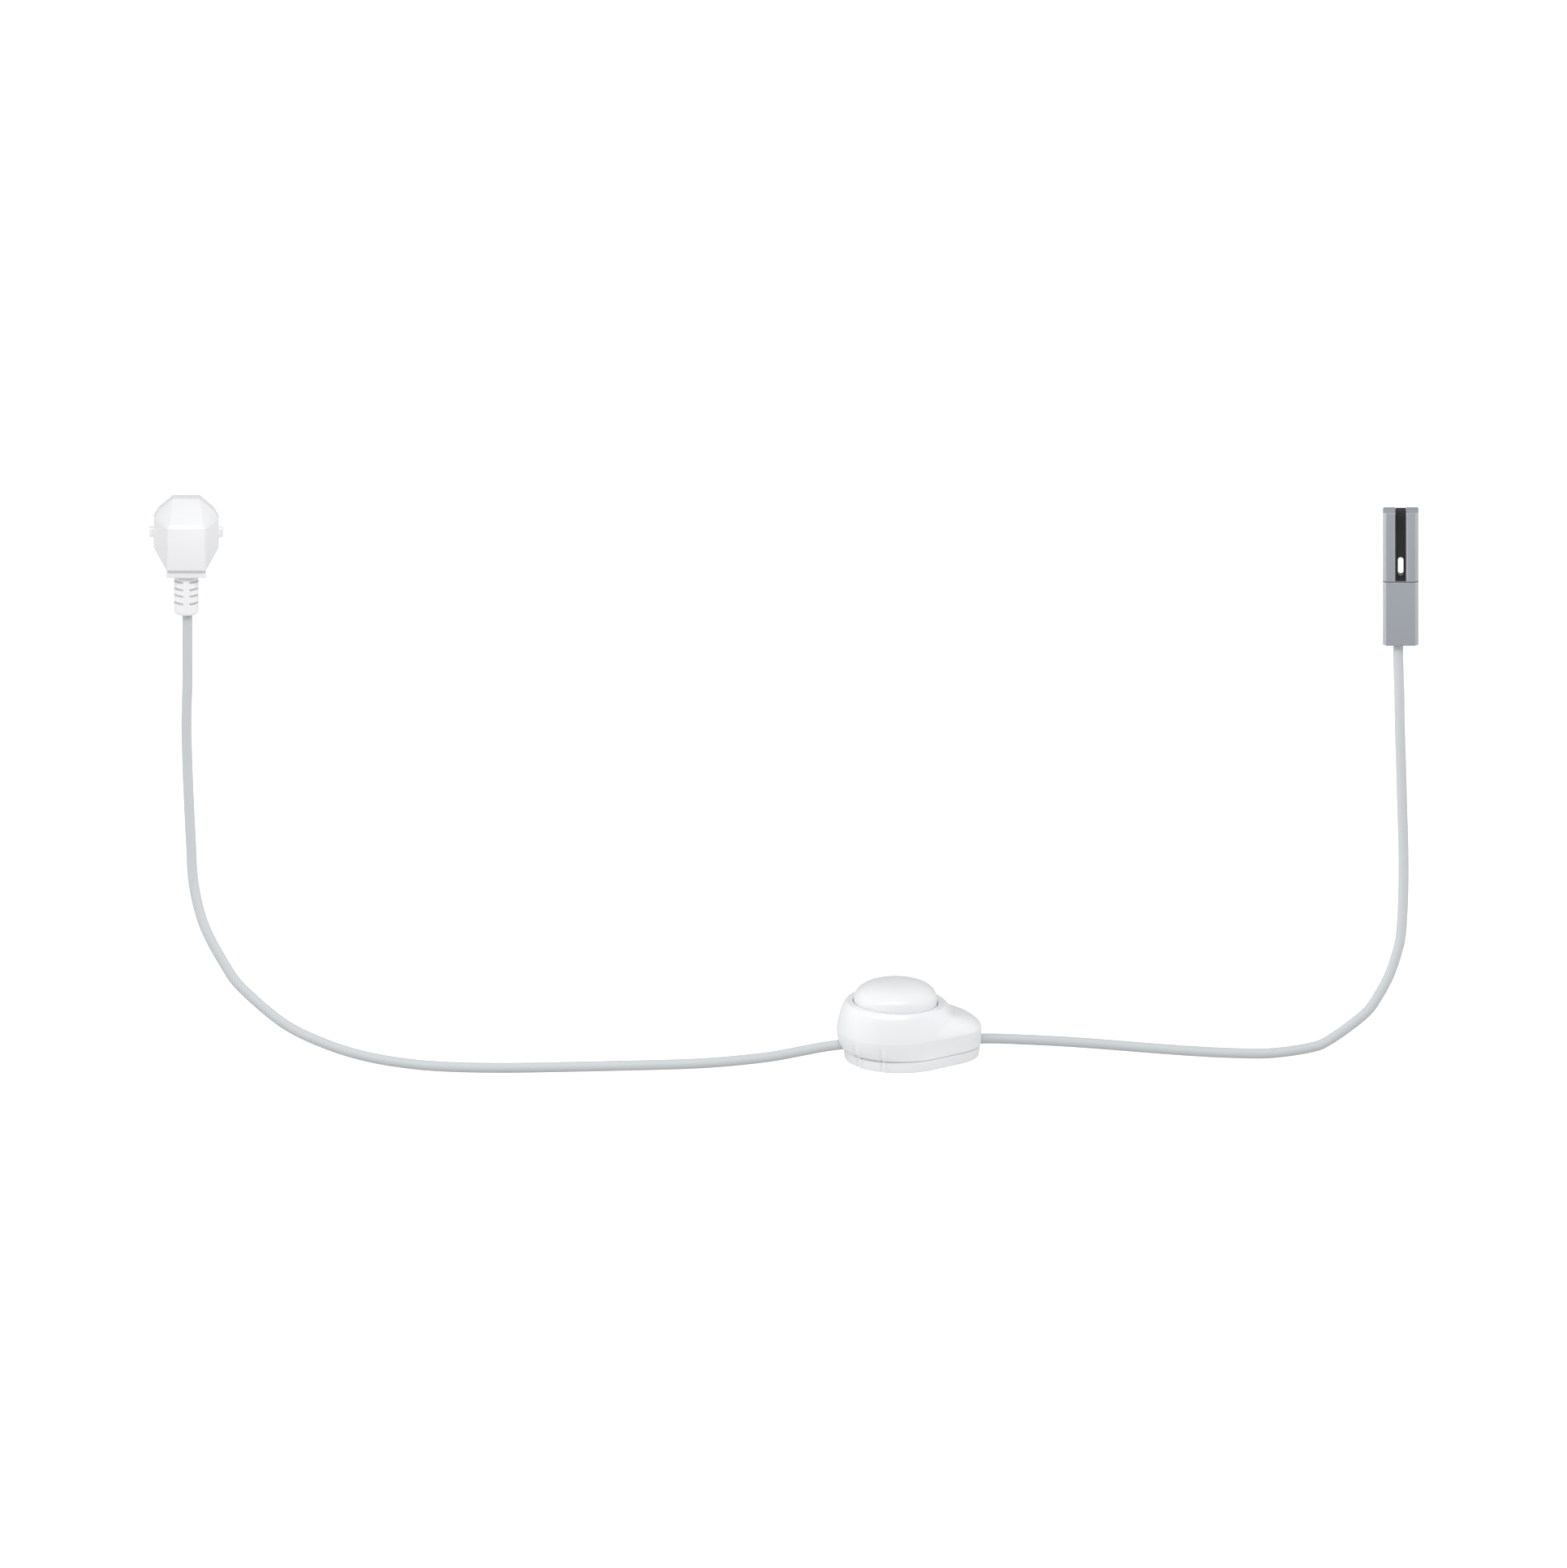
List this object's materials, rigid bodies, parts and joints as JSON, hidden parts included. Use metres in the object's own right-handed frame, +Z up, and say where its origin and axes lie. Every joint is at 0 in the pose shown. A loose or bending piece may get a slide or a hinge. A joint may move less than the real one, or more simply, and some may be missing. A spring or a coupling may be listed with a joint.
{
  "type": "in-line foot switch lead",
  "caption": "Mains lead with an angled round plug, an egg-shaped foot switch with a domed push button in line, and a slim track feed connector.",
  "frame": {"origin": "centre of the plug's flat engagement face, between its two pins", "axes": "+X along the floor from the plug to the track connector, +Y into the wall along the pins, +Z up"},
  "size_m": [0.6883, 0.1202, 0.2984],
  "materials": {
    "white_shell": "smooth semi-gloss moulded plastic",
    "white_button": "smooth glossy moulded plastic",
    "white_plug": "satin moulded plastic",
    "relief_rubber": "soft white moulded rubber",
    "grey_cord": "braided light grey textile sheath",
    "grey_track": "fine satin grey plastic",
    "black_channel": "dull black plastic",
    "inner_plastic": "plain moulded plastic",
    "brass_metal": "turned brass",
    "steel_metal": "zinc plated steel",
    "pin_metal": "nickel plated brass pins",
    "foot_rubber": "black rubber pads",
    "lead_brown": "brown wire insulation",
    "lead_blue": "blue wire insulation"
  },
  "bodies": {
    "base": {"clamp_screw_left_front": "steel_metal", "clamp_screw_left_rear": "steel_metal", "clamp_screw_right_front": "steel_metal", "clamp_screw_right_rear": "steel_metal", "connector_chamber": "grey_track", "connector_clamp": "steel_metal", "connector_clamp_screw_left": "steel_metal", "connector_clamp_screw_right": "steel_metal", "connector_cover": "grey_track", "connector_insert": "black_channel", "connector_lead_left": "lead_brown", "connector_lead_right": "lead_blue", "connector_rail": "grey_track", "connector_terminal_block": "brass_metal", "connector_terminal_screw_left": "steel_metal", "connector_terminal_screw_right": "steel_metal", "contact_blade_left": "brass_metal", "contact_blade_right": "brass_metal", "cord_clamp_left": "inner_plastic", "cord_clamp_right": "inner_plastic", "fixed_contact_left": "brass_metal", "fixed_contact_right": "brass_metal", "housing_screw_1": "steel_metal", "housing_screw_2": "steel_metal", "housing_screw_3": "steel_metal", "inner_lead_left_front": "lead_brown", "inner_lead_left_rear": "lead_blue", "inner_lead_right_front": "lead_brown", "inner_lead_right_rear": "lead_blue", "lower_housing": "white_shell", "pin_left": "pin_metal", "pin_right": "pin_metal", "plug_bend_relief": "relief_rubber", "plug_body": "white_plug", "plug_cord": "grey_cord", "plug_face": "white_plug", "return_spring": "steel_metal", "rotor_bridge": "inner_plastic", "rubber_foot_1": "foot_rubber", "rubber_foot_2": "foot_rubber", "rubber_foot_3": "foot_rubber", "rubber_foot_4": "foot_rubber", "switch_carrier": "inner_plastic", "terminal_block_left": "brass_metal", "terminal_block_right": "brass_metal", "terminal_screw_left_front": "steel_metal", "terminal_screw_left_rear": "steel_metal", "terminal_screw_right_front": "steel_metal", "terminal_screw_right_rear": "steel_metal", "track_cord": "grey_cord", "upper_housing": "white_shell"},
    "button": {"foot_button": "white_button", "button_plunger": "inner_plastic"},
    "rotor": {"ratchet_rotor": "inner_plastic"},
    "rocker": {"contact_bridge": "brass_metal"}
  },
  "joints": [
    {"name": "button_press", "type": "slide", "parent": "base", "child": "button", "axis": [0, 0, -1], "range_m": [0, 0.004], "stiffness_N_per_m": 800, "springref_m": -0.004, "deforming": ["return_spring"]},
    {"name": "rotor_turn", "type": "hinge", "parent": "base", "child": "rotor", "pos_m": [0.38445, -0.07, -0.268], "axis": [0, 0, 1], "range_deg": [0, 45]},
    {"name": "contact_rock", "type": "hinge", "parent": "base", "child": "rocker", "pos_m": [0.38445, -0.07, -0.273], "axis": [-0.1392, 0.9903, 0], "range_deg": [0, 6]}
  ],
  "couplings": [
    {"joint": "rotor_turn", "follows": "button_press", "rad_per_m": 196.3},
    {"joint": "contact_rock", "follows": "button_press", "rad_per_m": 26.1}
  ]
}
